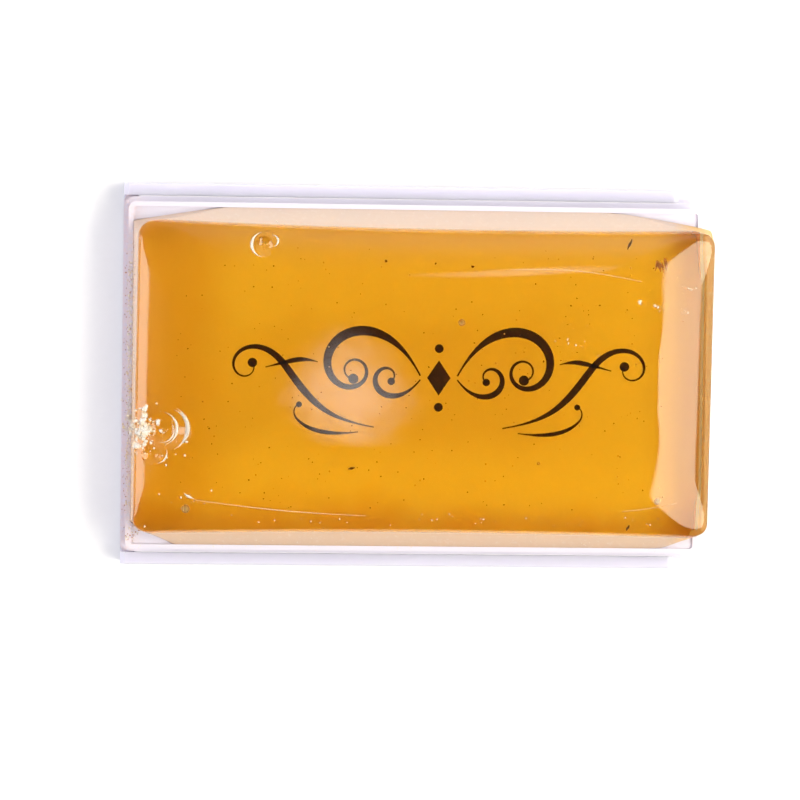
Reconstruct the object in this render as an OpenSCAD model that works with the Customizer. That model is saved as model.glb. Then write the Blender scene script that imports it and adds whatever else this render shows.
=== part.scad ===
// Cake of bow rosin in its slide case: a cast rosin cake on a label sheet in a thin-walled tray,
// and the tray slides lengthwise in a white channel whose lips hold its foot.
// X runs along the slide, Y across it, and Z = 0 is the face that the channel rests on.

/* [Channel] */
// Length of the channel
channel_length = 57; // [50:0.5:70]
// Width across the channel's outer faces
channel_width = 39; // [38.6:0.1:40]
// Height of the channel's side walls
channel_height = 4; // [3.6:0.1:4.2]
// Thickness of the channel's floor
channel_floor = 1.2; // [0.8:0.1:1.3]
// Thickness of the channel's side walls
channel_wall = 0.7; // [0.6:0.05:0.8]
// Height of the chamfer on the channel's ends
channel_end_chamfer = 0.5; // [0.1:0.1:0.6]

/* [Tray] */
// Length of the tray over its skirt
tray_length = 59.4; // [58.6:0.1:60.5]
// Width of the tray over its skirt
tray_width = 36.2; // [36:0.1:36.4]
// Height of the skirt's ledge above the resting face
skirt_height = 4.4; // [4.2:0.1:5]
// How far the upright walls stand in from the skirt
skirt_step = 0.5; // [0.3:0.05:0.6]
// Height of the tray's rim above the resting face
rim_height = 8; // [7.5:0.1:8.4]
// Thickness of the tray's upright walls
tray_wall = 0.5; // [0.4:0.05:0.6]
// Thickness of the tray's floor
tray_floor = 1.05; // [0.8:0.05:1.05]
// Length and width of the gussets in the tray's two +Y corners
far_gusset = [8.8, 1.4]; // [1:0.1:9]
// Length and width of the gussets in the tray's two -Y corners
near_gusset = [4.3, 2.2]; // [1:0.1:5]
// How far the gussets stop below the rim
gusset_drop = 0.4; // [0.2:0.1:1]
// How far the tray stands towards +X of the channel at rest: here its -X ends are flush
tray_offset = 1.2; // [0:0.1:2]

/* [Slide fit] */
// Gap between the channel's floor and the tray
floor_gap = 0.15; // [0.1:0.05:0.25]
// Gap between the channel's lips and the top of the tray's foot
lip_gap = 0.2; // [0.15:0.05:0.3]
// Gap between the channel and the tray on each side
side_gap = 0.15; // [0.1:0.05:0.2]

/* [Label] */
// Thickness of the label sheet
label_thickness = 0.1; // [0.08:0.01:0.15]

/* [Cake] */
// Height of the cake's flat top above the resting face
cake_top = 12; // [11.5:0.1:13]
// Height of the widest part of the cake's pillow edge
shoulder_height = 10.1; // [9.6:0.1:10.4]
// Width across the cake's shoulder at its two ends
shoulder_width = 31.5; // [30:0.1:32]
// How far each long shoulder draws inwards at its middle
shoulder_bow = 0.5; // [0:0.1:0.8]
// How far the shoulder stands back from the -X end of the tray's skirt
shoulder_set_back = 1.5; // [1.2:0.1:1.8]
// How far the shoulder laps over the outside of the tray's +X wall
shoulder_lap = 0.85; // [0:0.05:1]
// Width of the pillow edge around the flat top
pillow_edge = 6; // [4:0.5:7]

/* [Hidden] */

$fn = 48;
overlap = 1;                    // how far a cutting tool runs past what it cuts

edge_radius = 0.25;             // rounding of the channel's long outer edges
tray_corner = 1.2;              // outer corner radius of the tray's skirt and foot
wall_corner = 0.8;              // outer corner radius of the tray's upright walls
cake_clearance = 0.05;          // gap between the cake, or the label, and the tray's walls

tray_bottom = channel_floor + floor_gap;
floor_top = tray_bottom + tray_floor;
label_top = floor_top + label_thickness;
lip_bottom = floor_top + lip_gap;
gusset_top = rim_height - gusset_drop;
inner_half = channel_width / 2 - channel_wall;      // inner face of the channel's walls
lip_half = tray_width / 2 + side_gap;               // tip of the channel's lips
foot_half = inner_half - side_gap;                  // outer edge of the tray's foot
wall_half = [tray_length, tray_width] / 2 - [skirt_step, skirt_step];
cup_half = wall_half - [tray_wall, tray_wall];      // inner faces of the tray's walls

// Unit vector at an angle, and points of an arc about centre, from one angle to another.
function direction(angle) = [cos(angle), sin(angle)];
function arc(centre, radius, from, to, steps = 6) =
    [for (i = [0:steps]) centre + radius * direction(from + (to - from) * i / steps)];

// Right half of the channel's cross-section, from its underside up over the wall to its floor.
function channel_half() =
    let (side = channel_width / 2, r = edge_radius)
    concat(arc([side - r, r], r, -90, 0),
           arc([side - r, channel_height - r], r, 0, 90),
           [[lip_half, channel_height], [lip_half, lip_bottom],
            [inner_half, lip_bottom], [inner_half, channel_floor]]);

function mirrored(points) = [for (i = [len(points) - 1:-1:0]) [-points[i][0], points[i][1]]];

module channel_section() {
    polygon(concat(channel_half(), mirrored(channel_half())));
}

// Wedge that takes the upper edge off one end of the channel.
module end_chamfer() {
    translate([channel_length / 2, 0, channel_height])
        rotate([0, 45, 0])
            cube([channel_end_chamfer * sqrt(2), channel_width + 2 * overlap,
                  channel_end_chamfer * sqrt(2)], center = true);
}

module slide_channel() {
    color([0.96, 0.95, 0.98])
        difference() {
            rotate([90, 0, 90])
                linear_extrude(channel_length, center = true)
                    channel_section();
            end_chamfer();
            mirror([1, 0, 0])
                end_chamfer();
        }
}

module rounded_rectangle(size, radius) {
    square([size[0] - 2 * radius, size[1]], center = true);
    square([size[0], size[1] - 2 * radius], center = true);
    for (x = [-1, 1], y = [-1, 1])
        translate([x * (size[0] / 2 - radius), y * (size[1] / 2 - radius)])
            circle(radius);
}

// Rectangle whose corners are cut off straight by the gussets.
module cut_rectangle(half_size) {
    polygon([for (p = [[1, 1, 0], [1, 1, 1], [-1, 1, 1], [-1, 1, 0],
                       [-1, -1, 0], [-1, -1, 1], [1, -1, 1], [1, -1, 0]])
        let (cut = p[1] > 0 ? far_gusset : near_gusset)
            [p[0] * (half_size[0] - p[2] * cut[0]), p[1] * (half_size[1] - (1 - p[2]) * cut[1])]]);
}

// Flat layer of the tray from one height to another.
module layer(from, to) {
    translate([0, 0, from])
        linear_extrude(to - from)
            children();
}

module cake_tray() {
    color([0.93, 0.93, 0.96, 0.5])
        translate([tray_offset, 0, 0])
            difference() {
                union() {
                    layer(tray_bottom, floor_top)
                        rounded_rectangle([tray_length, 2 * foot_half], tray_corner);
                    layer(tray_bottom, skirt_height)
                        rounded_rectangle([tray_length, tray_width], tray_corner);
                    layer(tray_bottom, rim_height)
                        rounded_rectangle(2 * wall_half, wall_corner);
                }
                layer(floor_top, rim_height + overlap)
                    cut_rectangle(cup_half);
                layer(gusset_top, rim_height + overlap)
                    rounded_rectangle(2 * cup_half, wall_corner - tray_wall);
            }
}

module label_sheet() {
    color("white")
        translate([tray_offset, 0, 0])
            layer(floor_top, label_top)
                cut_rectangle(foot);
}

corner_steps = 8;               // straight pieces in each corner of the cake's outline
side_steps = 12;                // straight pieces in each of its long sides

// Y of the outline's long side at x, drawn in by `bow` at its middle.
function side_y(x, left, right, half, bow) =
    let (s = (2 * x - left - right) / (right - left)) half - bow * (1 - s * s);

// A corner that takes up cut[0] by cut[1]. It goes from a straight cut, at round 0, to a quarter ellipse,
// at round 1.
function corner(centre, cut, from, round) =
    [for (i = [0:corner_steps])
        let (t = i / corner_steps,
             straight = (1 - t) * direction(from) + t * direction(from + 90),
             point = straight + (direction(from + 90 * t) - straight) * round)
            centre + [cut[0] * point[0], cut[1] * point[1]]];

// One long side of the outline with its two corners, drawn for +Y: from the +X end to the -X end.
function long_side(left, right, half, bow, cut, round) =
    let (run = right - left - 2 * cut[0],
         end = side_y(left + cut[0], left, right, half, bow) - cut[1])
    concat(corner([right - cut[0], end], cut, 0, round),
           [for (i = [1:side_steps - 1]) let (x = right - cut[0] - run * i / side_steps)
               [x, side_y(x, left, right, half, bow)]],
           corner([left + cut[0], end], cut, 90, round));

// Outline of the cake at one height, from left to right and half width `half` at the ends. cuts holds the
// size of its +Y corners, then of its -Y corners.
function outline(left, right, half, bow, cuts, round) =
    concat(long_side(left, right, half, bow, cuts[0], round),
           [for (p = long_side(-right, -left, half, bow, cuts[1], round)) -p]);

// Solid skinned over outlines that all have the same number of points, one at each height.
module skin(outlines, heights) {
    n = len(outlines[0]);
    last = len(outlines) - 1;
    points = [for (k = [0:last], p = outlines[k]) [p[0], p[1], heights[k]]];
    bottom = [for (i = [0:n - 1]) i];
    top = [for (i = [n - 1:-1:0]) last * n + i];
    walls = [for (k = [0:last - 1], i = [0:n - 1]) let (j = (i + 1) % n)
        each [[k * n + i, (k + 1) * n + i, (k + 1) * n + j], [k * n + i, (k + 1) * n + j, k * n + j]]];
    polyhedron(points, concat([bottom, top], walls));
}

foot = cup_half - [cake_clearance, cake_clearance];     // the cake's foot, and the label
foot_cuts = [far_gusset, near_gusset]                   // the foot's corners, clear of the gussets
    + [[0.35, 0.08], [0.2, 0.12]];
foot_round = 0.15;                                      // how far they bulge from straight cuts
shoulder_cut = [1.6, 1.4];                              // the shoulder's corners
shoulder_cuts = [shoulder_cut, shoulder_cut];
slope_start = 6.6;                                      // where the long sides begin to lean inwards
lap_height = rim_height + cake_clearance;               // underside of the lap over the tray's end
half_lap = (lap_height + shoulder_height) / 2;
left = -tray_length / 2 + shoulder_set_back;
right = wall_half[0] + shoulder_lap;
half = shoulder_width / 2;
pillow_steps = 7;

// How far down the slope from the shoulder a height is, from 0 at the shoulder to 1 at its start.
function down(z) = (shoulder_height - z) / (shoulder_height - slope_start);
function between(a, b, t) = a + (b - a) * t;

function slope_outline(z, right_edge) =
    let (t = down(z))
    outline(between(left, -foot[0], t), right_edge, between(half, foot[1], t),
            between(shoulder_bow, 0, t), between(shoulder_cuts, foot_cuts, t),
            z > gusset_top ? 1 : foot_round);

function pillow_outline(step) =
    let (inset = pillow_edge * (1 - cos(90 * step / pillow_steps)),
         cut = shoulder_cut + [inset, inset] * 0.4)
    outline(left + inset, right - inset, half - inset, shoulder_bow * (1 - inset / pillow_edge),
            [cut, cut], 1);

cake_outlines = concat(
    [outline(-foot[0], foot[0], foot[1], 0, foot_cuts, foot_round), slope_outline(slope_start, foot[0]),
     slope_outline(gusset_top, foot[0]), slope_outline(rim_height, foot[0]),
     slope_outline(lap_height, right - 0.1), slope_outline(half_lap, right)],
    [for (step = [0:pillow_steps]) pillow_outline(step)]);
cake_heights = concat(
    [label_top, slope_start, gusset_top, rim_height, lap_height, half_lap],
    [for (step = [0:pillow_steps])
        between(shoulder_height, cake_top, sin(90 * step / pillow_steps))]);

module rosin_cake() {
    color([0.92, 0.62, 0.1, 0.9])
        translate([tray_offset, 0, 0])
            skin(cake_outlines, cake_heights);
}

slide_channel();
cake_tray();
label_sheet();
rosin_cake();
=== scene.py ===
import math
import random

import bmesh
import bpy
import numpy as np
from mathutils import Matrix, Vector
from mathutils.bvhtree import BVHTree


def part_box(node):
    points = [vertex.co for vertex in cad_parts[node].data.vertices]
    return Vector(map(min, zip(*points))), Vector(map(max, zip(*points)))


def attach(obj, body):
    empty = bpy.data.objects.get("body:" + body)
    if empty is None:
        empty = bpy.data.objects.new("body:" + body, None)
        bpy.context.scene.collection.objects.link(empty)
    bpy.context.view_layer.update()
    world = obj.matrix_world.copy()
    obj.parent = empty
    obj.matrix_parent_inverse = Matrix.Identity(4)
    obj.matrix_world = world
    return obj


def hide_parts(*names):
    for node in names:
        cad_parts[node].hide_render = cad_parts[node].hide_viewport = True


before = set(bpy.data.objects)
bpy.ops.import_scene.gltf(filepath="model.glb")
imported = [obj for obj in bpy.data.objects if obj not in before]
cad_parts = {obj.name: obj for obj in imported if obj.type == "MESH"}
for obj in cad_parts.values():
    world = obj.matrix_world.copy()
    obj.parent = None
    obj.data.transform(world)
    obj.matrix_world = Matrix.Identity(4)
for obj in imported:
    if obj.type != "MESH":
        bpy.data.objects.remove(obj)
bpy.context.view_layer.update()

MM = 0.001
scene = bpy.context.scene
scene.view_settings.view_transform = "Standard"

# ---------------------------------------------------------------- places, from the frame
tray_low, tray_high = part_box("cake_tray")
label_low, label_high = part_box("label_sheet")
cake_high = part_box("rosin_cake")[1]

middle_x = (label_low.x + label_high.x) / 2     # middle of the tray
label_top = label_high.z
rim = tray_high.z
cake_top = cake_high.z

# Heights in mm of the shoulder, where the cake's slopes end and its top begins, and of the slopes' start.
SHOULDER, SLOPE_START = 10.1, 7.94


# ---------------------------------------------------------------- node helpers
def feed(tree, socket, value):
    """Links a socket to another node's output, or sets it to a number or a colour."""
    if isinstance(value, bpy.types.NodeSocket):
        tree.links.new(value, socket)
    else:
        socket.default_value = value


def maths(tree, operation, a, b=0.0, clamp=False):
    """The result of a sum on a and b, which are numbers or sockets."""
    made = tree.nodes.new("ShaderNodeMath")
    made.operation = operation
    made.use_clamp = clamp
    feed(tree, made.inputs[0], a)
    feed(tree, made.inputs[1], b)
    return made.outputs[0]


def smooth_ramp(tree, value, low, high, to_low=0.0, to_high=1.0):
    """value from low..high to to_low..to_high, smooth at both ends."""
    made = tree.nodes.new("ShaderNodeMapRange")
    made.interpolation_type = "SMOOTHSTEP"
    tree.links.new(value, made.inputs["Value"])
    for key, number in (("From Min", low), ("From Max", high), ("To Min", to_low), ("To Max", to_high)):
        made.inputs[key].default_value = number
    return made.outputs["Result"]


# ---------------------------------------------------------------- camera, lights and floor
def place_camera():
    """A long lens, almost straight above, leaning a little to the -X and +Y sides and rolled a little."""
    distance = 0.400
    sensor, lens = 36, 176.3
    lean_x, lean_y, roll = (math.radians(angle) for angle in (4.0, 2.6, -0.83))
    aim = Vector((-0.15, -2.29, 6.0)) * MM
    turn = (Matrix.Rotation(roll, 3, "Z") @ Matrix.Rotation(lean_y, 3, "X")
            @ Matrix.Rotation(lean_x, 3, "Y")).transposed()
    data = bpy.data.cameras.new("camera")
    data.sensor_width = sensor
    data.lens = lens
    data.clip_start = 0.01
    camera = bpy.data.objects.new("camera", data)
    camera.matrix_world = Matrix.Translation(aim + turn @ Vector((0, 0, distance))) @ turn.to_4x4()
    scene.collection.objects.link(camera)
    scene.camera = camera


def softbox(name, azimuth, from_vertical, distance, size, radiance,
            colour=(1, 1, 1), soft=0.08, corners=1.0):
    """A light of the given radiance that faces the object. Azimuth 0 is +X and 90 is +Y. It fades over its
    outer share `soft`, and corners below 1 cut its corners off. The camera doesn't see it."""
    data = bpy.data.lights.new(name, "AREA")
    data.shape = "RECTANGLE"
    data.size, data.size_y = size
    data.energy = radiance * math.pi * size[0] * size[1]
    data.color = colour
    light = bpy.data.objects.new(name, data)
    a, v = math.radians(azimuth), math.radians(from_vertical)
    away = Vector((math.sin(v) * math.cos(a), math.sin(v) * math.sin(a), math.cos(v)))
    light.matrix_world = (Matrix.Translation(away * distance + Vector((0, 0, cake_top)))
                          @ away.to_track_quat("Z", "Y").to_matrix().to_4x4())
    light.visible_camera = False
    scene.collection.objects.link(light)
    fade_edges(data, soft, corners)
    return light


def fade_edges(light, soft, corners):
    """Makes a light's emission fall off smoothly towards the edges and the cut corners of its panel."""
    light.use_nodes = True
    tree = light.node_tree
    split = tree.nodes.new("ShaderNodeSeparateXYZ")
    tree.links.new(tree.nodes.new("ShaderNodeNewGeometry").outputs["Parametric"], split.inputs[0])
    reaches = []
    for axis in "XY":
        off_middle = maths(tree, "SUBTRACT", split.outputs[axis], 0.5)
        reaches.append(maths(tree, "ABSOLUTE", off_middle))
    shares = [smooth_ramp(tree, reach, 0.5, 0.5 - soft) for reach in reaches]
    shares.append(smooth_ramp(tree, maths(tree, "ADD", *reaches), corners, corners - soft))
    both_sides = maths(tree, "MULTIPLY", shares[0], shares[1])
    everywhere = maths(tree, "MULTIPLY", both_sides, shares[2])
    tree.links.new(everywhere, tree.nodes["Emission"].inputs["Strength"])


def make_studio():
    """A white surrounding, dim straight overhead and on the -Y side."""
    world = bpy.data.worlds.new("studio")
    scene.world = world
    world.use_nodes = True
    tree = world.node_tree
    background = tree.nodes["Background"]
    background.inputs["Color"].default_value = (0.93, 0.94, 1.0, 1)
    split = tree.nodes.new("ShaderNodeSeparateXYZ")
    tree.links.new(tree.nodes.new("ShaderNodeTexCoord").outputs["Generated"], split.inputs[0])
    overhead = smooth_ramp(tree, split.outputs["Z"], 0.98, 0.7, 0.12, 0.7)
    near = smooth_ramp(tree, split.outputs["Y"], -0.6, 0.2, 0.2, 1)
    tree.links.new(maths(tree, "MULTIPLY", overhead, near), background.inputs["Strength"])


def light_scene():
    """A warm eight-sided softbox to the right, another to the left, a dim panel and a narrow strip beyond the
    object, two fills that don't show in reflections, and a small diffused lamp almost straight above."""
    warm = (1.0, 0.93, 0.76)
    softbox("softbox_right", -4, 33, 0.55, (0.55, 0.28), 6.9, warm, soft=0.06, corners=0.82)
    softbox("softbox_left", 180, 60, 0.55, (0.30, 0.42), 4.8)
    softbox("softbox_far", 62, 50, 0.6, (0.6, 0.45), 0.9, soft=0.45)
    softbox("strip_far", 70, 20.5, 0.6, (0.035, 0.16), 2.4, soft=0.4)
    fills = [softbox("fill_above", -50, 24, 0.7, (0.5, 0.4), 2.9, soft=0.2),
             softbox("fill_right", 0, 76, 0.6, (0.5, 0.3), 6.5, soft=0.3)]
    for fill in fills:
        fill.visible_glossy = False
    softbox("lamp_above", -43, 3.9, 0.8, (0.042, 0.046), 4.4, soft=0.45)


def make_floor():
    """A wide sheet of pale paper, just under the object."""
    bpy.ops.mesh.primitive_plane_add(size=3, location=(0, 0, -0.02 * MM))
    floor = bpy.context.object
    floor.name = "floor"
    floor.data.materials.append(floor_paper())


# ---------------------------------------------------------------- materials
class Nodes:
    """A new material's node tree with short calls for adding and joining nodes."""

    def __init__(self, name):
        self.material = bpy.data.materials.new(name)
        self.material.use_nodes = True
        self.tree = self.material.node_tree
        self.shader = self.tree.nodes["Principled BSDF"]
        self.out = self.tree.nodes["Material Output"]
        self.where = self.tree.nodes.new("ShaderNodeTexCoord").outputs["Object"]

    def set(self, **values):
        """Gives the shader's own sockets one value each. _ in a name stands for a space."""
        for key, value in values.items():
            self.shader.inputs[key.replace("_", " ")].default_value = value

    def link(self, source, target):
        self.tree.links.new(source, target)

    def drive(self, key, source):
        """Links one of the shader's own sockets to another node's output."""
        self.link(source, self.shader.inputs[key])

    def node(self, kind, **settings):
        made = self.tree.nodes.new("ShaderNode" + kind)
        for key, value in settings.items():
            setattr(made, key, value)
        return made

    def noise(self, scale, detail=3, roughness=0.5, vector=None):
        made = self.node("TexNoise")
        made.inputs["Scale"].default_value = scale
        made.inputs["Detail"].default_value = detail
        made.inputs["Roughness"].default_value = roughness
        self.link(vector or self.where, made.inputs["Vector"])
        return made.outputs["Fac"]

    def stretched(self, scale, turn=(0, 0, 0)):
        """The object's coordinates, turned and scaled by a different factor along each axis."""
        made = self.node("Mapping")
        made.inputs["Scale"].default_value = scale
        made.inputs["Rotation"].default_value = turn
        self.link(self.where, made.inputs["Vector"])
        return made.outputs["Vector"]

    def maths(self, *values):
        return maths(self.tree, *values)

    def ramp(self, *values):
        return smooth_ramp(self.tree, *values)

    def mixed(self, share, a, b):
        """Colour a where share is 0 and colour b where it is 1."""
        made = self.node("Mix", data_type="RGBA")
        for key, value in (("Factor", share), ("A", a), ("B", b)):
            feed(self.tree, made.inputs[key], value)
        return made.outputs["Result"]

    def bump(self, height, strength, distance, normal=None):
        """A normal bumped by height, on top of another normal if one is given."""
        made = self.node("Bump")
        made.inputs["Strength"].default_value = strength
        made.inputs["Distance"].default_value = distance
        self.link(height, made.inputs["Height"])
        if normal is not None:
            self.link(normal, made.inputs["Normal"])
        return made.outputs["Normal"]

    def axis(self, name):
        """One of the object's coordinates."""
        made = self.node("SeparateXYZ")
        self.link(self.where, made.inputs[0])
        return made.outputs[name]


def floor_paper():
    """Matt, nearly white paper with a fine grain."""
    n = Nodes("floor_paper")
    n.set(Roughness=0.9)
    grain = n.noise(900, 4)
    n.drive("Base Color", n.mixed(grain, (0.93, 0.93, 0.94, 1), (0.97, 0.97, 0.98, 1)))
    return n.material


def white_plastic():
    """Moulded white plastic, faintly violet, with a fine moulded grain and a few rub marks."""
    n = Nodes("white_plastic")
    cloud = n.noise(120, 4)
    n.drive("Base Color", n.mixed(cloud, (0.63, 0.615, 0.73, 1), (0.68, 0.665, 0.78, 1)))
    rubs = n.noise(1.0, 4, 0.6, n.stretched((250, 2500, 2500), (0, 0, 0.3)))
    n.drive("Roughness", n.ramp(rubs, 0.35, 0.75, 0.28, 0.5))
    grain = n.bump(n.noise(6000, 2), 0.12, 0.02 * MM)
    n.drive("Normal", n.bump(rubs, 0.1, 0.02 * MM, grain))
    n.set(IOR=1.49, Subsurface_Weight=0.8, Subsurface_Scale=1.2 * MM)
    n.shader.inputs["Subsurface Radius"].default_value = (1, 0.9, 1)
    return n.material


def clear_plastic():
    """Thin milky styrene, rubbed dull and scuffed at the -X end, where its pinkish, paler colour is painted
    reflection and painted light.
    """
    n = Nodes("clear_plastic")
    scuffs = n.noise(2500, 5, 0.7)
    wear_and_painted_tint = n.maths("MULTIPLY", n.ramp(n.axis("X"), tray_low.x + 3 * MM, tray_low.x, 0, 1),
                   n.ramp(scuffs, 0.35, 0.6, 0.2, 1))
    haze = n.ramp(n.noise(150, 3), 0.3, 0.7, 0.3, 0.45)
    n.drive("Roughness", n.maths("ADD", haze, n.maths("MULTIPLY", wear_and_painted_tint, 0.4), True))
    # Painted reflection and light: the -X end turns pinkish and paler over its real dull scuffs.
    n.drive("Base Color", n.mixed(wear_and_painted_tint, (0.90, 0.87, 1.0, 1), (0.97, 0.84, 0.88, 1)))
    n.drive("Normal", n.bump(scuffs, 0.3, 0.02 * MM))
    n.set(IOR=1.5, Transmission_Weight=0.3)
    return n.material


def label_paper():
    """White paper, a little browner under the middle of the print, and darkened to yellow-brown towards its
    -X end and its -Y side: painted shade for the dimmer light there."""
    n = Nodes("label_paper")
    fibres = n.noise(1.0, 5, 0.6, n.stretched((1800, 4200, 1800), (0, 0, 0.5)))
    paper = n.mixed(fibres, (0.975, 0.97, 0.96, 1), (1.0, 1.0, 0.99, 1))
    drift = n.maths("MULTIPLY", n.maths("SUBTRACT", n.noise(110, 2), 0.5), 8 * MM)
    x = n.maths("ADD", n.axis("X"), drift)
    y = n.maths("ADD", n.axis("Y"), drift)
    middle = n.maths("MULTIPLY", n.ramp(n.maths("ABSOLUTE", x), 20 * MM, 13 * MM),
                     n.ramp(n.maths("ABSOLUTE", y), 9 * MM, 3.5 * MM))
    browned = n.mixed(n.maths("MULTIPLY", middle, 0.75), paper, (0.91, 0.86, 0.8, 1))
    # Painted shade: the paper turns yellow-brown towards the -X end and the -Y side.
    end = n.ramp(x, label_low.x + 13 * MM, label_low.x + 6 * MM, 0, 0.6)
    near = n.ramp(y, label_low.y + 6.5 * MM, label_low.y + 2 * MM, 0, 0.85)
    painted_shade = n.maths("MAXIMUM", end, near)
    n.drive("Base Color", n.mixed(painted_shade, browned, (0.90, 0.74, 0.5, 1)))
    n.drive("Normal", n.bump(fibres, 0.2, 0.01 * MM))
    n.set(Roughness=0.7, Specular_IOR_Level=0.2)
    return n.material


def printed_ink():
    """Dark brown ink, a little patchy."""
    n = Nodes("printed_ink")
    patchy = n.noise(2200, 4, 0.6)
    n.drive("Base Color", n.mixed(patchy, (0.012, 0.004, 0.003, 1), (0.05, 0.022, 0.016, 1)))
    n.drive("Normal", n.bump(patchy, 0.2, 0.01 * MM))
    n.set(Roughness=0.5, Specular_IOR_Level=0.2)
    return n.material


def amber_rosin():
    """Clear amber rosin, which absorbs blue, then green, along the light's way through it. Its moulded sides
    are matt and pale with powder, and rubbed to a warm amber at the +X end."""
    n = Nodes("amber_rosin")
    pits = n.noise(1800, 4, 0.6)
    sides = n.ramp(n.axis("Z"), (SHOULDER - 0.02) * MM, (SHOULDER - 0.4) * MM, 0, 1)
    rubbed = n.ramp(n.axis("X"), cake_high.x - 4.5 * MM, cake_high.x - 1.5 * MM, 0, 1)
    powder = n.maths("MULTIPLY", sides, n.ramp(pits, 0.2, 0.5, 0.75, 0.95))
    dusty = n.mixed(n.ramp(n.axis("Y"), -12 * MM, 12 * MM), (0.78, 0.60, 0.44, 1), (0.77, 0.66, 0.59, 1))
    dusty = n.mixed(rubbed, dusty, (1.0, 0.66, 0.24, 1))
    n.drive("Roughness", n.ramp(sides, 0, 1, 0.015, 0.5))
    n.drive("Base Color", n.mixed(powder, (1, 1, 1, 1), dusty))
    cloudy = n.maths("MULTIPLY", powder, 0.72)
    n.drive("Transmission Weight", n.maths("SUBTRACT", 1.0, cloudy))
    wavy = n.bump(n.noise(150, 2), 0.18, 0.08 * MM)
    n.drive("Normal", n.bump(pits, 0.04, 0.01 * MM, wavy))
    n.set(IOR=1.54)
    absorb = n.node("VolumeAbsorption")
    absorb.inputs["Color"].default_value = (0.999, 0.853, 0.0, 1)
    absorb.inputs["Density"].default_value = 215
    n.link(absorb.outputs[0], n.out.inputs["Volume"])
    return n.material


def fracture_and_highlight_white():
    """Crushed rosin along a crack: whitish, partly clear and glittering. It is also the colour of the painted
    highlights along the chips' lips and one scratch.
    """
    n = Nodes("fracture_and_highlight_white")
    splinters = n.noise(1500, 4, 0.7)
    n.drive("Base Color", n.mixed(splinters, (1.0, 0.97, 0.92, 1), (1.0, 0.88, 0.68, 1)))
    n.drive("Normal", n.bump(splinters, 0.6, 0.05 * MM))
    n.set(Roughness=0.2, IOR=1.54, Transmission_Weight=0.38)
    return n.material


def rosin_crumbs():
    """Crushed rosin: powdery white with amber patches, and partly clear."""
    n = Nodes("rosin_crumbs")
    grains = n.noise(900, 4, 0.7)
    amber = n.ramp(grains, 0.4, 0.75)
    n.drive("Base Color", n.mixed(amber, (0.97, 0.92, 0.86, 1), (0.93, 0.68, 0.32, 1)))
    n.drive("Roughness", n.ramp(grains, 0.3, 0.7, 0.25, 0.6))
    n.set(IOR=1.54, Transmission_Weight=0.3)
    return n.material


def bark_brown():
    """Rusty brown with darker streaks, for bark and grit."""
    n = Nodes("bark_brown")
    streaks = n.noise(2200, 3, 0.6)
    n.drive("Base Color", n.mixed(streaks, (0.12, 0.03, 0.006, 1), (0.75, 0.28, 0.05, 1)))
    n.drive("Normal", n.bump(streaks, 0.4, 0.01 * MM))
    n.set(Roughness=0.6)
    return n.material


def gap_fill_light():
    """Pale, faintly violet filler: painted light over the gaps' shadow."""
    n = Nodes("gap_fill_light")
    clumps = n.noise(2500, 4, 0.6)
    n.drive("Base Color", n.mixed(clumps, (0.86, 0.84, 0.93, 1), (0.98, 0.96, 1.0, 1)))
    n.set(Roughness=0.9)
    return n.material


def dark_grit():
    """Nearly black brown, for specks and fibres inside the rosin."""
    n = Nodes("dark_grit")
    grains = n.noise(3000, 3, 0.6)
    n.drive("Base Color", n.mixed(grains, (0.03, 0.012, 0.005, 1), (0.16, 0.07, 0.02, 1)))
    n.drive("Normal", n.bump(grains, 0.4, 0.01 * MM))
    n.set(Roughness=0.7)
    return n.material


# ---------------------------------------------------------------- mesh helpers
def mesh_object(name, points, faces, material, smooth=True):
    """A new object from points in metres, with one material."""
    mesh = bpy.data.meshes.new(name)
    mesh.from_pydata([tuple(p) for p in points], [], faces)
    mesh.validate()
    mesh.update()
    if smooth:
        mesh.shade_smooth()
    made = bpy.data.objects.new(name, mesh)
    made.data.materials.append(material)
    scene.collection.objects.link(made)
    return made


def skin(rings):
    """Points and faces of a closed solid through rings with the same number of points. Each ring runs
    anticlockwise as seen from the last ring's end, so that the faces look outwards."""
    count = len(rings[0])
    points = [p for ring in rings for p in ring]
    faces = [tuple(range(count))[::-1]]
    for k in range(len(rings) - 1):
        for i in range(count):
            j = (i + 1) % count
            faces.append((k * count + i, k * count + j, (k + 1) * count + j, (k + 1) * count + i))
    last = (len(rings) - 1) * count
    faces.append(tuple(range(last, last + count)))
    return points, faces


def on_tray(part, slot):
    """Makes a piece move with the tray. The argument slot is not used."""
    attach(part, "tray")
    return part


def ball(centre, radius, rng=None, rough=0.0, detail=1):
    """Points and faces of an icosphere with its own radius along each axis. With rng it is turned at random,
    and each point is pushed in or out by up to the share `rough`."""
    shape = bmesh.new()
    bmesh.ops.create_icosphere(shape, subdivisions=detail, radius=1)
    spin = Matrix.Identity(3)
    if rng:
        angle = rng.uniform(0, 6.28)
        spin = Matrix.Rotation(angle, 3, Vector((rng.random(), rng.random(), 1)).normalized())
    points = []
    for v in shape.verts:
        p = spin @ v.co * (1 + (rng.uniform(-rough, rough) if rng else 0))
        points.append([c + r * q for c, r, q in zip(centre, radius, p)])
    faces = [tuple(v.index for v in f.verts) for f in shape.faces]
    shape.free()
    return points, faces


def gathered(parts):
    """One list of points and one of faces for several solids."""
    points, faces = [], []
    for more, shapes in parts:
        base = len(points)
        points += more
        faces += [tuple(base + i for i in f) for f in shapes]
    return points, faces


def placed(points):
    """Points from mm about the tray's middle to metres in the frame."""
    return [(middle_x + x * MM, y * MM, z * MM) for x, y, z in points]


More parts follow.
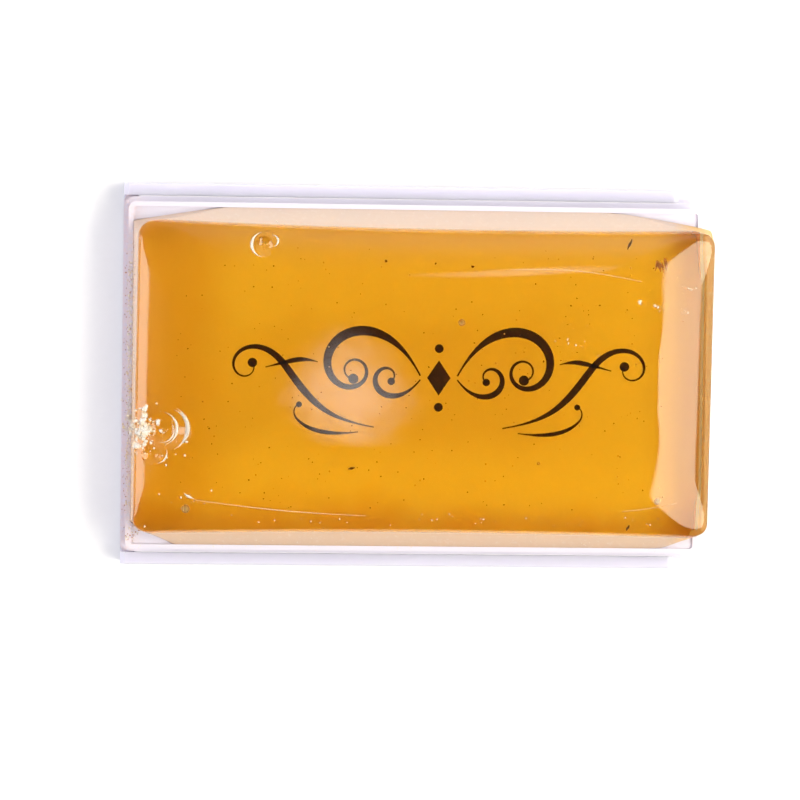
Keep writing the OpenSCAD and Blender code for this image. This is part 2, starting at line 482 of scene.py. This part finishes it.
# ---------------------------------------------------------------- the print on the label
# Each stroke of the ornament's +X half: start, heading in degrees, pieces of (length, first curvature, last
# curvature), thin and thick width, how far along it is thickest as a share, and the radius of the disc that
# ends it. Lengths are in mm.
STROKES = [
    ((1.9, 0.2), 62, [(5.0, -0.05, -0.16), (11.0, -0.16, -0.42), (8.6, -0.42, -1.15)],
     0.16, 0.98, 0.34, 0.52),
    ((1.9, -0.2), -52, [(2.6, 0.10, 0.35), (4.7, 0.35, 0.85), (2.6, 0.85, 1.6)],
     0.14, 0.60, 0.45, 0.38),
    ((6.6, -5.1), 10, [(5.4, 0.02, 0.13), (5.6, 0.13, 0), (6.0, -0.06, -0.5), (5.2, -0.5, -1.25)],
     0.12, 0.74, 0.42, 0.48),
    ((12.4, 1.5), 16, [(2.2, -0.1, -0.3), (3.2, -0.1, 0.05)], 0.10, 0.50, 0.40, 0.05),
    ((8.2, -5.6), -8, [(3.0, 0.05, 0.1), (3.6, 0.1, 0.3), (1.8, 0.6, 1.6)], 0.10, 0.42, 0.45, 0.30),
]
INK_Z, INK_THICKNESS = 0.002, 0.014             # above the label, in mm


def flourish(start, heading, pieces, step=0.1):
    """Points and headings along a line whose curvature runs evenly from one value to the next."""
    x, y = start
    turn = math.radians(heading)
    line = [(x, y, turn)]
    for length, first, last in pieces:
        count = int(length / step)
        for i in range(count):
            turn += (first + (last - first) * (i + 0.5) / count) * length / count
            x += math.cos(turn) * length / count
            y += math.sin(turn) * length / count
            line.append((x, y, turn))
    return line


def flat_solid(loop, low, thickness):
    """A thin plate through a loop of points that runs anticlockwise."""
    return skin([[(x, y, low) for x, y in loop], [(x, y, low + thickness) for x, y in loop]])


def ribbon(line, widths, low, thickness):
    """A thin strip along a line, as a closed solid with four points at each step."""
    rings = []
    for (x, y, turn), width in zip(line, widths):
        dx, dy = -math.sin(turn) * width / 2, math.cos(turn) * width / 2
        rings.append([(x + dx, y + dy, low), (x + dx, y + dy, low + thickness),
                      (x - dx, y - dy, low + thickness), (x - dx, y - dy, low)])
    return skin(rings)


def swelling(count, thin, thick, peak):
    """Widths along a stroke, thin at both ends and thickest at the share `peak` of its length."""
    shares = [i / (count - 1) for i in range(count)]
    shares = [t / peak / 2 if t < peak else 0.5 + (t - peak) / (1 - peak) / 2 for t in shares]
    return [thin + (thick - thin) * math.sin(math.pi * t) ** 2 for t in shares]


def disc(x, y, radius, low, thickness):
    """A thin round plate."""
    angles = np.linspace(0, 2 * math.pi, 29)[:-1]
    loop = [(x + radius * math.cos(a), y + radius * math.sin(a)) for a in angles]
    return flat_solid(loop, low, thickness)


def build_ornament():
    """A generic calligraphic divider: a lozenge between two dots, with mirrored flourishes."""
    low = label_top / MM + INK_Z
    offset = 2.6                                # from the tray's middle towards +X
    parts = []
    for start, heading, pieces, thin, thick, peak, knob in STROKES:
        line = flourish(start, heading, pieces)
        widths = swelling(len(line), thin, thick, peak)
        end = line[-1]
        half = [ribbon(line, widths, low, INK_THICKNESS), disc(end[0], end[1], knob, low, INK_THICKNESS)]
        parts += half
        for points, faces in half:
            parts.append(([(-x, y, z) for x, y, z in points], [f[::-1] for f in faces]))
    parts.append(flat_solid([(1.2, 0), (0, 1.8), (-1.2, 0), (0, -1.8)], low, INK_THICKNESS))
    parts += [disc(0, y, 0.45, low, INK_THICKNESS) for y in (3.0, -3.0)]
    points, faces = gathered(parts)
    points = placed([(x + offset, y, z) for x, y, z in points])
    return on_tray(mesh_object("label_ornament", points, faces, printed_ink(), smooth=False), "black_ink")


# ---------------------------------------------------------------- the cake
CORNER_STEPS, LONG_STEPS, SHORT_STEPS = 14, 150, 80     # steps along an outline
OVERFILL = 0.04                                 # how far the foot reaches past the label's edge, in mm

# Half sizes of the foot, the +X edge of the lap, and the shoulder's outline, in mm from the tray's middle.
FOOT_X = (label_high.x - middle_x) / MM + OVERFILL
FOOT_Y = label_high.y / MM + OVERFILL
CAKE_RIGHT = (cake_high.x - middle_x) / MM
SHOULDER_LEFT, SHOULDER_HALF = -28.3, 15.75
BOW, TAPER, SKEW = 0.5, 0.5, 0.16

# Sizes along X and Y of the +Y corners, then of the -Y corners, and how round the foot's corners are.
FOOT_CUTS = np.array([(9.15, 1.48), (4.5, 2.32)])
SHOULDER_CUTS = np.array([(1.6, 1.4), (1.5, 1.3)])
FOOT_ROUNDNESS = 0.15


def corner(centre, cut, start, roundness):
    """A corner that takes up cut[0] by cut[1]: a straight cut at roundness 0, a quarter ellipse at 1."""
    first = Vector((math.cos(start), math.sin(start)))
    last = Vector((-first.y, first.x))
    points = []
    for i in range(CORNER_STEPS + 1):
        t = i / CORNER_STEPS
        curved = first * math.cos(math.pi / 2 * t) + last * math.sin(math.pi / 2 * t)
        p = first.lerp(last, t).lerp(curved, roundness)
        points.append((centre[0] + cut[0] * p.x, centre[1] + cut[1] * p.y))
    return points


def half_outline(left, right, half, bow, taper, cut, roundness):
    """The +Y half of an outline, from its +X end to its -X end. The long side is `half` from the middle at
    -X, drawn in by `bow` at its middle and by `taper` at +X."""
    def side(x):
        s = (2 * x - left - right) / (right - left)
        return half - bow * (1 - s * s) - taper * (1 + s) / 2

    x0, x1 = left + cut[0], right - cut[0]
    y0, y1 = side(x0) - cut[1], side(x1) - cut[1]
    points = [(right, y) for y in np.linspace(0, y1, SHORT_STEPS // 2)[:-1]]
    points += corner((x1, y1), cut, 0, roundness)
    points += [(x, side(x)) for x in np.linspace(x1, x0, LONG_STEPS + 1)[1:-1]]
    points += corner((x0, y0), cut, math.pi / 2, roundness)
    points += [(left, y) for y in np.linspace(y0, 0, SHORT_STEPS // 2)[1:-1]]
    return points


def outline(left, right, half, bow, taper, cuts, roundness, skew=0.0):
    """Outline of the cake at one height, in mm from the tray's middle. cuts holds the size of its +Y corners,
    then of its -Y corners. Only the +Y side tapers. skew leans the ends towards +X as they go to +Y."""
    far = half_outline(left, right, half, bow, taper, cuts[0], roundness)
    near = half_outline(-right, -left, half, bow * 0.8, 0, cuts[1], roundness)
    return [(x + skew * y / half, y) for x, y in far + [(-x, -y) for x, y in near]]


def edge_profile():
    """Distances in from the shoulder and the share of the pillow's rise reached there."""
    s = np.linspace(0, 9, 400)
    slope = np.interp(s, [0, 0.12, 0.4, 0.9, 2.5, 4.4, 5.8, 7.2, 9], [82, 55, 33, 26, 20, 12, 5.5, 2.2, 0])
    rise = np.concatenate([[0], np.cumsum(np.tan(np.radians(slope[:-1])) * np.diff(s))])
    return s, rise / rise[-1]


def at_height(points, z):
    """An outline's points, all at height z."""
    return [(x, y, z) for x, y in points]


def foot_rings():
    """The straight sides inside the tray, up to where the slopes start."""
    foot = outline(-FOOT_X, FOOT_X, FOOT_Y, 0, 0, FOOT_CUTS, FOOT_ROUNDNESS)
    base, lip = label_top / MM - 0.04, rim / MM
    return [at_height(foot, z) for z in (base, 4.0, 5.5, 6.6, lip - 0.4, SLOPE_START)]


def slope_ring(z, right):
    """The outline at height z between the foot and the shoulder, with its +X edge at `right`."""
    down = (SHOULDER - z) / (SHOULDER - SLOPE_START)
    up = 1 - down
    left = SHOULDER_LEFT + (-FOOT_X - SHOULDER_LEFT) * down
    half = SHOULDER_HALF + (FOOT_Y - SHOULDER_HALF) * down
    cuts = SHOULDER_CUTS + (FOOT_CUTS - SHOULDER_CUTS) * down
    roundness = FOOT_ROUNDNESS + (1 - FOOT_ROUNDNESS) * max(0, up) ** 2
    return at_height(outline(left, right, half, BOW * up, TAPER * up, cuts, roundness, SKEW * up), z)


def slope_rings():
    """The slopes that lean in above the tray's walls, and the lap over its +X wall."""
    lip = rim / MM
    laps = [(lip + 0.06, -0.3), (lip + 0.2, -0.08), (8.5, 0), (8.8, 0), (9.1, 0), (9.4, 0), (9.8, 0)]
    return [slope_ring(lip - 0.02, FOOT_X)] + [slope_ring(z, CAKE_RIGHT + over) for z, over in laps]


def pillow_rings():
    """The pillow-shaped top, from the shoulder inwards."""
    top = cake_top / MM
    s, rise = edge_profile()
    insets = [0, 0.02, 0.05, 0.1, 0.16, 0.24, 0.35, 0.5, 0.7, 0.95]
    insets += list(np.arange(1.25, 6.4, 0.3)) + list(np.arange(6.8, 15.0, 0.45))
    rings = []
    for inset in insets:
        level = SHOULDER + (top - SHOULDER) * float(np.interp(inset, s, rise))
        share = max(0, 1 - inset / 6)
        half = SHOULDER_HALF - inset
        widened = SHOULDER_CUTS + 1.7 * (1 - math.exp(-inset / 0.7)) + min(inset, 6) * 0.7
        cuts = np.maximum(np.minimum(widened, half - 0.6), 0.02)
        rings.append(at_height(outline(SHOULDER_LEFT + inset, CAKE_RIGHT - inset, half, BOW * share,
                                       TAPER * share, cuts, 1, SKEW * share), level))
    return rings


def build_cake():
    """The rosin with its air bubbles and chips."""
    solid = skin(foot_rings() + slope_rings() + pillow_rings())
    points, faces = gathered([solid] + air_bubbles())
    cake = mesh_object("rosin", placed(points), faces, amber_rosin())
    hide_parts("rosin_cake")
    chip_away(cake)
    return on_tray(cake, "amber_rosin")


def air_bubbles():
    """Air bubbles: small closed shells that face into the bubble, away from the rosin around it."""
    rng = random.Random(4)
    middles = [(4.5, 5.8, 9.2, 0.36), (-23.1, -13.2, 9.0, 0.42),
               (24.7, -12.0, 9.3, 0.36), (12.6, -8.4, 8.0, 0.16)]
    for _ in range(90):
        x, y = rng.uniform(-25, 27), rng.uniform(-12.5, 12.5)
        middles.append((x, y, rng.uniform(4.5, 10.4), rng.uniform(0.03, 0.09)))
    shells = []
    for x, y, z, r in middles:
        points, faces = ball((x, y, z), (r, r, r * 0.8), detail=3 if r > 0.1 else 2)
        shells.append((points, [f[::-1] for f in faces]))
    return shells


# Shell-shaped chips in the cake's top: the middle and half sizes of each scoop, and where the blow fell.
CHIPS = [
    ((-25.7, -5.3, 13.15), (3.5, 2.7, 2.6), (-28.4, -5.5, 10.6)),
    ((-26.9, -7.9, 12.5), (1.7, 1.5, 1.9), (-28.4, -7.4, 10.6)),
    ((-15.6, 13.5, 12.25), (1.35, 1.6, 1.5), (-15.9, 15.0, 11.0)),
    ((-14.5, 14.3, 11.75), (0.8, 0.6, 0.9), (-14.3, 15.0, 11.0)),
    ((-22.0, -12.0, 12.62), (1.25, 0.4, 1.0), (-23.0, -11.7, 11.9)),
]


def chip_away(cake):
    """Cuts the chips out of the cake. Their surfaces ripple in rings around the blow, like broken glass."""
    cutters = []
    for centre, half_size, blow in CHIPS:
        points, faces = ball(centre, half_size, detail=5)
        rippled = []
        for p in points:
            p, c = Vector(p), Vector(centre)
            ripple = 0.012 * math.sin((p - Vector(blow)).length * 9)
            rippled.append(c + (p - c) * (1 + ripple))
        cutters.append(mesh_object("chip_cutter", placed(rippled), faces, cake.data.materials[0]))
    for cutter in cutters:
        cut = cake.modifiers.new("chip", "BOOLEAN")
        cut.operation = "DIFFERENCE"
        cut.solver = "EXACT"
        cut.object = cutter
    depsgraph = bpy.context.evaluated_depsgraph_get()
    chipped = bpy.data.meshes.new_from_object(cake.evaluated_get(depsgraph))
    cake.modifiers.clear()
    cake.data = chipped
    chipped.shade_smooth()
    chipped.set_sharp_from_angle(angle=math.radians(35))
    for cutter in cutters:
        bpy.data.objects.remove(cutter)


# ---------------------------------------------------------------- crumbs, dust, specks and fibres
def surface_under(parts):
    """A function that gives the highest point of the parts at x, y in mm about the tray's middle."""
    depsgraph = bpy.context.evaluated_depsgraph_get()
    trees = []
    for part in parts:
        mesh = part.evaluated_get(depsgraph).to_mesh()
        points = [part.matrix_world @ v.co for v in mesh.vertices]
        trees.append(BVHTree.FromPolygons(points, [list(f.vertices) for f in mesh.polygons]))

    def height(x, y):
        start = Vector((middle_x + x * MM, y * MM, cake_top + 5 * MM))
        hits = [tree.ray_cast(start, Vector((0, 0, -1)))[0] for tree in trees]
        hits = [hit.z / MM for hit in hits if hit]
        return max(hits) if hits else None

    return height


def grains(name, spots, height, material, slot, seed):
    """Irregular grains at spots of (x, y, radius), each partly sunk into the surface under it."""
    rng = random.Random(seed)
    parts = []
    for x, y, r in spots:
        z = height(x, y)
        if z is None:
            continue
        sizes = (r * rng.uniform(0.7, 1.3), r * rng.uniform(0.7, 1.3), r * rng.uniform(0.6, 1))
        parts.append(ball((x, y, z + r * 0.3), sizes, rng, 0.25))
    points, faces = gathered(parts)
    return on_tray(mesh_object(name, placed(points), faces, material, smooth=False), slot)


def lying_ribbon(line, widths, height, thickness=0.06):
    """A thin strip that follows the surface under a line, half sunk into it."""
    rings = []
    for (x, y, turn), width in zip(line, widths):
        dx, dy = -math.sin(turn) * width / 2, math.cos(turn) * width / 2
        right, left = height(x - dx, y - dy), height(x + dx, y + dy)
        rings.append([(x + dx, y + dy, left - thickness / 2), (x + dx, y + dy, left + thickness / 2),
                      (x - dx, y - dy, right + thickness / 2), (x - dx, y - dy, right - thickness / 2)])
    return skin(rings)


def arc_line(x, y, radius, first, last, count=26):
    """Points and headings along an arc, with its angles in degrees."""
    return [(x + radius * math.cos(a), y + radius * math.sin(a), a + math.pi / 2)
            for a in np.radians(np.linspace(first, last, count))]


def straight_line(start, end, sag=0.0, count=40):
    """Points and headings along a nearly straight line, which sags by `sag` at its middle."""
    turn = math.atan2(end[1] - start[1], end[0] - start[0])
    return [(start[0] + (end[0] - start[0]) * t + math.sin(turn) * sag * math.sin(math.pi * t),
             start[1] + (end[1] - start[1]) * t - math.cos(turn) * sag * math.sin(math.pi * t), turn)
            for t in np.linspace(0, 1, count)]


# Painted highlights: pale arcs along the chips' lips for the glints on their curved walls.
# x and y of the middle, radius, first and last angle in degrees, width.
PAINTED_LIP_HIGHLIGHTS = [
    (-25.4, -5.1, 2.35, -62, 58, 0.46),
    (-25.1, -5.2, 2.05, -30, 70, 0.34),
    (-25.8, -5.2, 1.7, -70, 75, 0.3),
    (-25.6, -5.4, 1.2, -100, 40, 0.14),
    (-15.6, 13.4, 1.25, 100, 262, 0.3),
    (-14.8, 13.8, 0.6, -80, 90, 0.22),
    (-26.2, -7.6, 1.1, -80, 20, 0.16),
]

# Scratches on the top; the long one from (-22.4, -12.3) to (-5.0, -13.8) is a painted highlight line.
# Start, end, sag, number of points, width.
SCRATCHES_AND_HIGHLIGHT_LINE = [
    ((-23.4, -11.6), (-22.3, -12.2), 0.1, 14, 0.26),
    ((-22.4, -12.3), (-5.0, -13.8), 0.25, 40, 0.04),
    ((9.0, 11.2), (22.5, 10.2), -0.5, 40, 0.03),
    ((21.0, -13.1), (26.6, -12.2), 0.1, 40, 0.02),
]
BLOW = (-27.9, -5.4)                            # where the large chip at the -X end was struck


def build_fractures_and_highlights(cake):
    """Painted highlights along the chips' lips, splinters around the blow at the -X end, and scratches on the
    top, one of them a painted highlight line.
    """
    height = surface_under([cake])
    rng = random.Random(31)
    lines = [(arc_line(*arc), width) for *arc, width in PAINTED_LIP_HIGHLIGHTS]
    for _ in range(26):
        turn, length = rng.uniform(-1.5, 1.5), rng.uniform(0.4, 1.5)
        start = (BLOW[0] + rng.uniform(0, 0.3), BLOW[1] + rng.uniform(-0.6, 0.6))
        end = (start[0] + abs(math.cos(turn)) * length, start[1] + math.sin(turn) * length)
        lines.append((straight_line(start, end, count=8), rng.uniform(0.08, 0.28)))
    lines += [(straight_line(*scratch), width) for *scratch, width in SCRATCHES_AND_HIGHLIGHT_LINE]
    parts = [lying_ribbon(line, swelling(len(line), 0.02, width, 0.5), height) for line, width in lines]
    points, faces = gathered(parts)
    return on_tray(mesh_object("fractures_and_highlights", placed(points), faces, fracture_and_highlight_white()), "amber_rosin")


def build_gap_fill_light():
    """A pale strip packed in the narrow gaps between the tray's skirt and the channel's lips: painted light
    that hides their shadow.
    """
    rng = random.Random(41)
    skirt = 18.1                                # half the skirt's width, less than half the foot's
    bottom, level = 3.1, 3.97
    first, last = (tray_low.x - middle_x) / MM + 1.5, (tray_high.x - middle_x) / MM - 1.5
    parts = []
    for sign in (1, -1):
        rings = []
        for x in np.arange(first, last, 0.35):
            inner, outer = skirt - 0.01, skirt + rng.uniform(0.115, 0.135)
            top = level + rng.uniform(-0.03, 0.03)
            ring = [(inner, bottom), (inner, top), (outer, top - 0.03), (outer, bottom)]
            rings.append([(x, sign * y, z) for y, z in ring[::-sign]])
        parts.append(skin(rings))
    points, faces = gathered(parts)
    return on_tray(mesh_object("gap_fill_light", placed(points), faces, gap_fill_light()), "amber_rosin")


# Clusters of crumbs on the cake: how many, x and y of the middle, spread along X and Y, smallest and largest
# radius. Lengths are in mm.
CLUSTERS = [
    (190, -27.7, -5.4, (0.6, 1.0), (0.05, 0.34)),
    (80, -26.0, -6.0, (1.3, 1.6), (0.03, 0.14)),
    (9, 27.5, 9.6, (0.32, 0.22), (0.04, 0.18)),
    (9, 22.6, 8.0, (0.32, 0.22), (0.04, 0.18)),
    (9, 26.9, 7.2, (0.32, 0.22), (0.04, 0.18)),
    (9, 24.3, 7.6, (0.32, 0.22), (0.04, 0.18)),
    (14, 15.6, 4.2, (1.0, 0.9), (0.03, 0.10)),
    (14, -15.2, 13.6, (0.7, 0.8), (0.03, 0.12)),
    (14, -22.6, -12.0, (1.0, 0.7), (0.03, 0.12)),
]


def scattered(rng, count, x, y, spread, sizes):
    """Spots around a point, thick in the middle and thin outside, mostly of the smaller size."""
    smallest, largest = sizes
    spots = []
    for _ in range(count):
        place = (rng.gauss(x, spread[0]), rng.gauss(y, spread[1]))
        spots.append((*place, smallest + (largest - smallest) * rng.random() ** 3))
    return spots


def along_end(rng, count, reach, span, least, sizes):
    """Spots in a band along the tray's -X end, `reach` in from it and over the span of y. Each y is drawn
    towards the middle by a share between `least` and 1."""
    end = (tray_low.x - middle_x) / MM
    spots = []
    for _ in range(count):
        x = end + rng.uniform(*reach)
        y = rng.uniform(*span) * rng.uniform(least, 1)
        spots.append((x, y, rng.uniform(*sizes)))
    return spots


def build_crumbs(rng, height):
    """Crushed rosin in clusters, along the -Y edge of the top and thinly all over it."""
    spots = [spot for cluster in CLUSTERS for spot in scattered(rng, *cluster)]
    spots += [(rng.uniform(-20, 27), rng.gauss(-14.2, 0.5), rng.uniform(0.02, 0.08)) for _ in range(46)]
    spots += [(rng.uniform(-26, 28), rng.uniform(-13, 13), rng.uniform(0.015, 0.04)) for _ in range(90)]
    grains("rosin_crumbs", spots, height, rosin_crumbs(), "amber_rosin", 12)


def build_rim_dust_and_painted_light(rng, height):
    """Rosin dust between the cake and the tray's -X end, in the -X and -Y corner and along the -Y side.
    Its many pale grains along the -X end are also painted light in the shaded strip there.
    """
    spots = along_end(rng, 460, (0.45, 1.25), (-16.6, 14.0), 0.6, (0.02, 0.11))
    spots += scattered(rng, 60, (tray_low.x - middle_x) / MM + 1.3, -16.0, (0.7, 0.7), (0.02, 0.12))
    for _ in range(70):
        x, y = rng.uniform(-26, 27), rng.choice((-16.6, -17.2)) + rng.gauss(0, 0.15)
        spots.append((x, y, rng.uniform(0.02, 0.06)))
    grains("rosin_dust_and_painted_light", spots, height, rosin_crumbs(), "amber_rosin", 13)


def build_rim_grit(rng, height):
    """Brown grit along the tray's -X end and in the -X and -Y corner."""
    spots = along_end(rng, 280, (0.15, 1.25), (-16.8, 15), 0.7, (0.015, 0.055))
    spots += scattered(rng, 30, (tray_low.x - middle_x) / MM + 1.2, -16.2, (0.6, 0.5), (0.03, 0.1))
    grains("rim_grit", spots, height, bark_brown(), "amber_rosin", 14)


def build_debris(cake):
    """Crumbs, dust and grit, placed from one run of random numbers."""
    height = surface_under([cake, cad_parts["cake_tray"]])
    rng = random.Random(11)
    build_crumbs(rng, height)
    build_rim_dust_and_painted_light(rng, height)
    build_rim_grit(rng, height)


# The larger specks in the rosin: x, y and radius. The fibres: x, y, turn in radians and length. In mm.
LARGE_SPECKS = [(1.8, 11.5, 0.13), (5.6, 11.2, 0.13), (25.2, -11.6, 0.09),
                (-3.2, 11.6, 0.1), (12.8, 2.0, 0.11)]
FIBRES = [(21.4, 13.85, 1.35, 1.1), (21.7, -14.75, 1.5, 0.6), (-6.5, -9.0, 0.3, 0.5)]


def fibre(x, y, turn, length):
    """A short curved fibre lying flat inside the rosin, widest at its middle."""
    line = []
    for t in np.linspace(-0.5, 0.5, 12):
        curl = 0.1 * math.sin(3 * t)
        line.append((x + math.cos(turn) * length * t + curl, y + math.sin(turn) * length * t, turn))
    return ribbon(line, swelling(len(line), 0.08, 0.24, 0.5), 10.3, 0.1)


def build_specks(rng):
    """Dark specks and a few fibres cast into the rosin."""
    spots = [(rng.uniform(-25, 27), rng.uniform(-13, 13), rng.uniform(0.025, 0.07)) for _ in range(220)]
    parts = []
    for x, y, r in spots + LARGE_SPECKS:
        sizes = (r * rng.uniform(0.7, 1.6), r * rng.uniform(0.7, 1.3), r * 0.7)
        parts.append(ball((x, y, rng.uniform(7.5, 10.4)), sizes, rng, 0.3))
    parts += [fibre(*place) for place in FIBRES]
    points, faces = gathered(parts)
    on_tray(mesh_object("specks", placed(points), faces, dark_grit(), smooth=False), "amber_rosin")


def build_bark_flake(rng):
    """A brown flake of four splinters inside the rosin, near its +X and +Y corner."""
    splinters = []
    for k in range(4):
        x, y, turn = 24.05 + 0.32 * k, 11.8 + rng.gauss(0, 0.15), rng.uniform(1.3, 1.9)
        dx, dy = math.cos(turn) * 0.45, math.sin(turn) * rng.uniform(0.45, 0.75)
        line = straight_line((x - dx, y - dy), (x + dx, y + dy), 0.05, 8)
        splinters.append(ribbon(line, swelling(8, 0.06, rng.uniform(0.15, 0.45), 0.6), 10.6, 0.06))
    points, faces = gathered(splinters)
    on_tray(mesh_object("bark_flake", placed(points), faces, bark_brown(), smooth=False), "amber_rosin")


def build_inclusions():
    """What is cast into the rosin, placed from one run of random numbers."""
    rng = random.Random(21)
    build_specks(rng)
    build_bark_flake(rng)


# ---------------------------------------------------------------- the CAD nodes' finish
def finish_node(node, material, bevel=None):
    """Gives a CAD node its material, and rounds its sharp edges by `bevel`."""
    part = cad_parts[node]
    for slot in part.material_slots:
        slot.material = material
    if bevel:
        rounding = part.modifiers.new("edge_rounding", "BEVEL")
        rounding.width = bevel
        rounding.segments = 2
        rounding.limit_method = "ANGLE"
        rounding.angle_limit = math.radians(40)
        rounding.harden_normals = True


place_camera()
make_studio()
light_scene()
make_floor()
finish_node("slide_channel", white_plastic(), 0.15 * MM)
finish_node("cake_tray", clear_plastic(), 0.09 * MM)
finish_node("label_sheet", label_paper())
build_ornament()
rosin = build_cake()
build_debris(rosin)
build_fractures_and_highlights(rosin)
build_gap_fill_light()
build_inclusions()
